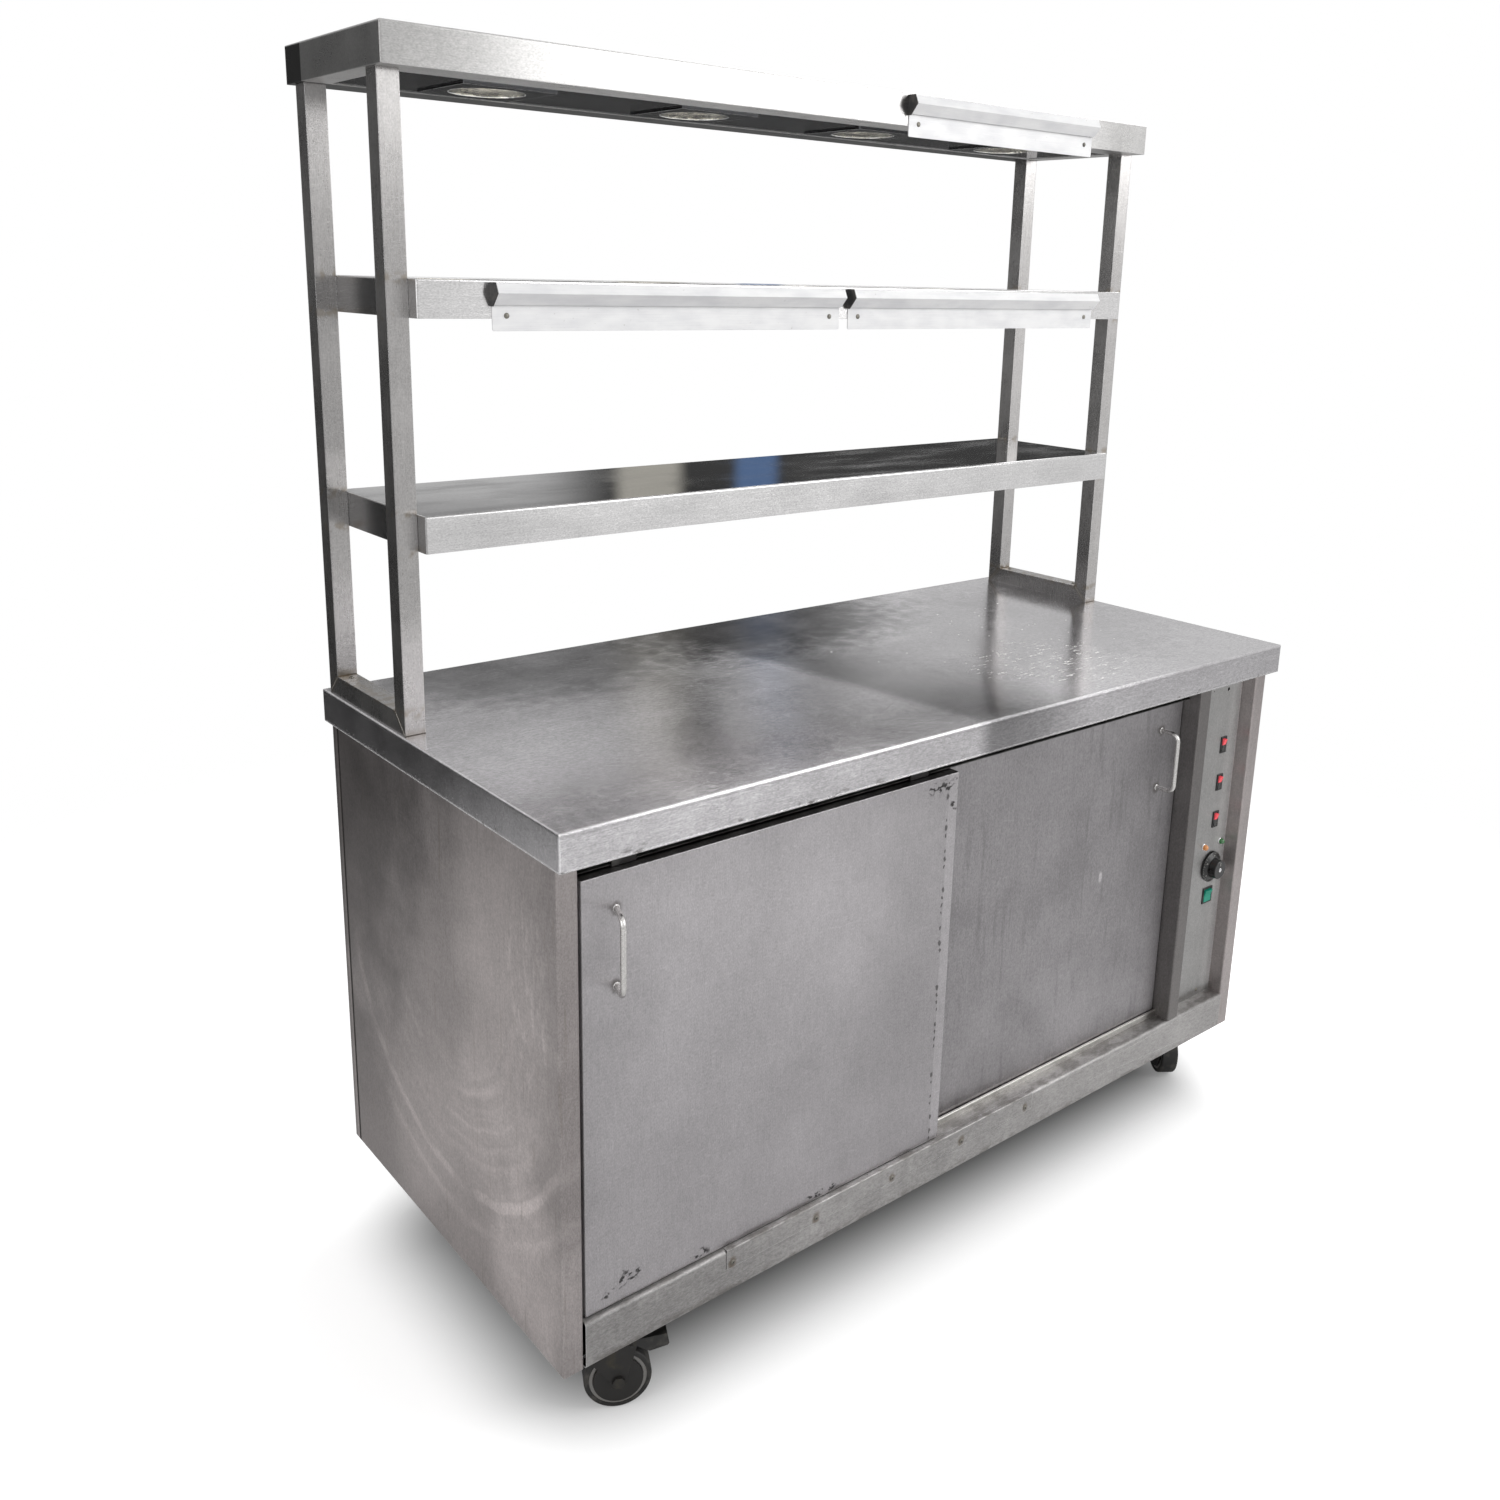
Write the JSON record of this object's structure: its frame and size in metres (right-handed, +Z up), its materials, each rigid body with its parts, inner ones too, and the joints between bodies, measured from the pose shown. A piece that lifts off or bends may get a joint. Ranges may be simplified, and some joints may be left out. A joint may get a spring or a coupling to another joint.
{
  "type": "hot cupboard",
  "caption": "Wheeled stainless steel hot cupboard with sliding doors and a recessed control column, and a heated gantry with shelves over its worktop",
  "frame": {"origin": "on the floor, at the middle of the overall plan", "axes": "+X to the right of a person who faces the doors, -Y towards that person, +Z up"},
  "size_m": [1.5, 0.7102, 1.805],
  "materials": {
    "worktop_steel": "satin stainless sheet with fine wiping scratches",
    "panel_steel": "satin stainless sheet with round wiping marks",
    "rail_steel": "satin stainless sheet, worn bright along its fold",
    "column_steel": "satin stainless sheet",
    "frame_steel": "satin stainless square tube",
    "shelf_steel": "satin stainless sheet",
    "canopy_steel": "satin stainless sheet, brighter inside",
    "door_steel": "satin stainless sheet with vertical grain",
    "zinc_sheet": "dull bare sheet steel",
    "screw_steel": "plain steel screw heads",
    "element_sheath": "heat darkened steel sheath",
    "reflector": "bright pressed reflector and bezel",
    "lamp_glass": "frosted heat lamp glass",
    "anodised_rail": "pale anodised extrusion",
    "rail_cap": "black end caps",
    "switch_plastic": "black switch housings",
    "pilot_lens": "coloured pilot lenses in dark bezels",
    "thermostat_case": "grey moulded case",
    "gland_nylon": "black nylon",
    "zinc_plate": "zinc plated pressed steel, dulled",
    "wheel_rim": "grey moulded wheel",
    "wheel_tyre": "black rubber tyre",
    "pedal_black": "black coated steel pedal",
    "handle_steel": "bright satin stainless bar",
    "roller_nylon": "dark nylon roller",
    "red_rocker": "red rocker",
    "green_rocker": "green rocker",
    "knob_plastic": "black moulded knob with a pale scale"
  },
  "bodies": {
    "cabinet": {"worktop": "worktop_steel", "worktop_stiffeners": "zinc_sheet", "left_side_panel": "panel_steel", "right_side_panel": "panel_steel", "rear_panel": "panel_steel", "cupboard_floor": "rail_steel", "base_frame": "zinc_sheet", "control_column": "column_steel", "control_panel": "column_steel", "door_track": "zinc_sheet", "door_foot_guide": "zinc_sheet", "guard_strip": "rail_steel", "screws": "screw_steel", "inner_shelf": "shelf_steel", "inner_brackets": "zinc_sheet", "heating_element": "element_sheath", "left_end_frame": "frame_steel", "right_end_frame": "frame_steel", "lower_shelf": "shelf_steel", "middle_shelf": "shelf_steel", "canopy": "canopy_steel", "lamp_tray": "canopy_steel", "lamp_bezels": "reflector", "lamp_glasses": "lamp_glass", "ticket_rails": "anodised_rail", "ticket_rail_caps": "rail_cap", "switch_bezels": "switch_plastic", "pilot_lamps": "pilot_lens", "thermostat_body": "thermostat_case", "cable_gland": "gland_nylon", "castor_plates": "zinc_plate"},
    "left_door": {"left_door_outer": "door_steel", "left_door_inner": "zinc_sheet", "left_door_handle": "handle_steel"},
    "right_door": {"right_door_outer": "door_steel", "right_door_inner": "zinc_sheet", "right_door_handle": "handle_steel"},
    "left_door_roller_a": {"left_door_roller_a": "roller_nylon"},
    "left_door_roller_b": {"left_door_roller_b": "roller_nylon"},
    "right_door_roller_a": {"right_door_roller_a": "roller_nylon"},
    "right_door_roller_b": {"right_door_roller_b": "roller_nylon"},
    "front_left_castor": {"front_left_fork": "zinc_plate"},
    "front_left_wheel": {"front_left_rim": "wheel_rim", "front_left_tyre": "wheel_tyre"},
    "front_left_brake": {"front_left_pedal": "pedal_black"},
    "front_right_castor": {"front_right_fork": "zinc_plate"},
    "front_right_wheel": {"front_right_rim": "wheel_rim", "front_right_tyre": "wheel_tyre"},
    "front_right_brake": {"front_right_pedal": "pedal_black"},
    "rear_left_castor": {"rear_left_fork": "zinc_plate"},
    "rear_left_wheel": {"rear_left_rim": "wheel_rim", "rear_left_tyre": "wheel_tyre"},
    "rear_right_castor": {"rear_right_fork": "zinc_plate"},
    "rear_right_wheel": {"rear_right_rim": "wheel_rim", "rear_right_tyre": "wheel_tyre"},
    "top_rocker": {"top_rocker": "red_rocker"},
    "middle_rocker": {"middle_rocker": "red_rocker"},
    "bottom_rocker": {"bottom_rocker": "red_rocker"},
    "main_rocker": {"main_rocker": "green_rocker"},
    "thermostat_knob": {"thermostat_knob": "knob_plastic"}
  },
  "joints": [
    {"name": "left_door_slide", "type": "slide", "parent": "cabinet", "child": "left_door", "axis": [1, 0, 0], "range_m": [0, 0.5338]},
    {"name": "right_door_slide", "type": "slide", "parent": "cabinet", "child": "right_door", "axis": [1, 0, 0], "range_m": [-0.5338, 0]},
    {"name": "left_door_roller_a_spin", "type": "hinge", "parent": "left_door", "child": "left_door_roller_a", "pos_m": [-0.636, -0.29706, 0.8285], "axis": [0, 1, 0], "continuous": true},
    {"name": "left_door_roller_b_spin", "type": "hinge", "parent": "left_door", "child": "left_door_roller_b", "pos_m": [-0.126, -0.29706, 0.8285], "axis": [0, 1, 0], "continuous": true},
    {"name": "right_door_roller_a_spin", "type": "hinge", "parent": "right_door", "child": "right_door_roller_a", "pos_m": [-0.037, -0.26906, 0.8285], "axis": [0, 1, 0], "continuous": true},
    {"name": "right_door_roller_b_spin", "type": "hinge", "parent": "right_door", "child": "right_door_roller_b", "pos_m": [0.473, -0.26906, 0.8285], "axis": [0, 1, 0], "continuous": true},
    {"name": "front_left_swivel", "type": "hinge", "parent": "cabinet", "child": "front_left_castor", "pos_m": [-0.664, -0.25886, 0.121], "axis": [0, 0, 1], "continuous": true},
    {"name": "front_left_roll", "type": "hinge", "parent": "front_left_castor", "child": "front_left_wheel", "pos_m": [-0.63164, -0.27464, 0.047], "axis": [0.4384, 0.8988, 0], "continuous": true},
    {"name": "front_left_brake_press", "type": "hinge", "parent": "front_left_castor", "child": "front_left_brake", "pos_m": [-0.61547, -0.28253, 0.101], "axis": [0.4384, 0.8988, 0], "range_deg": [0, 14]},
    {"name": "front_right_swivel", "type": "hinge", "parent": "cabinet", "child": "front_right_castor", "pos_m": [0.664, -0.25886, 0.121], "axis": [0, 0, 1], "continuous": true},
    {"name": "front_right_roll", "type": "hinge", "parent": "front_right_castor", "child": "front_right_wheel", "pos_m": [0.68516, -0.22973, 0.047], "axis": [-0.809, 0.5878, 0], "continuous": true},
    {"name": "front_right_brake_press", "type": "hinge", "parent": "front_right_castor", "child": "front_right_brake", "pos_m": [0.69574, -0.21517, 0.101], "axis": [-0.809, 0.5878, 0], "range_deg": [0, 14]},
    {"name": "rear_left_swivel", "type": "hinge", "parent": "cabinet", "child": "rear_left_castor", "pos_m": [-0.664, 0.27414, 0.121], "axis": [0, 0, 1], "continuous": true},
    {"name": "rear_left_roll", "type": "hinge", "parent": "rear_left_castor", "child": "rear_left_wheel", "pos_m": [-0.63221, 0.25724, 0.047], "axis": [0.4695, 0.8829, 0], "continuous": true},
    {"name": "rear_right_swivel", "type": "hinge", "parent": "cabinet", "child": "rear_right_castor", "pos_m": [0.664, 0.27414, 0.121], "axis": [0, 0, 1], "continuous": true},
    {"name": "rear_right_roll", "type": "hinge", "parent": "rear_right_castor", "child": "rear_right_wheel", "pos_m": [0.62879, 0.28163, 0.047], "axis": [-0.2079, -0.9781, 0], "continuous": true},
    {"name": "top_rocker_tip", "type": "hinge", "parent": "cabinet", "child": "top_rocker", "pos_m": [0.671, -0.29586, 0.707], "axis": [1, 0, 0], "range_deg": [-16, 0]},
    {"name": "middle_rocker_tip", "type": "hinge", "parent": "cabinet", "child": "middle_rocker", "pos_m": [0.671, -0.29586, 0.634], "axis": [1, 0, 0], "range_deg": [-16, 0]},
    {"name": "bottom_rocker_tip", "type": "hinge", "parent": "cabinet", "child": "bottom_rocker", "pos_m": [0.671, -0.29586, 0.561], "axis": [1, 0, 0], "range_deg": [-16, 0]},
    {"name": "main_rocker_tip", "type": "hinge", "parent": "cabinet", "child": "main_rocker", "pos_m": [0.671, -0.29586, 0.408], "axis": [1, 0, 0], "range_deg": [-16, 0]},
    {"name": "thermostat_turn", "type": "hinge", "parent": "cabinet", "child": "thermostat_knob", "pos_m": [0.671, -0.29786, 0.466], "axis": [0, 1, 0], "range_deg": [0, 270]}
  ],
  "couplings": [
    {"joint": "left_door_roller_a_spin", "follows": "left_door_slide", "rad_per_m": 100},
    {"joint": "left_door_roller_b_spin", "follows": "left_door_slide", "rad_per_m": 100},
    {"joint": "right_door_roller_a_spin", "follows": "right_door_slide", "rad_per_m": 100},
    {"joint": "right_door_roller_b_spin", "follows": "right_door_slide", "rad_per_m": 100}
  ]
}
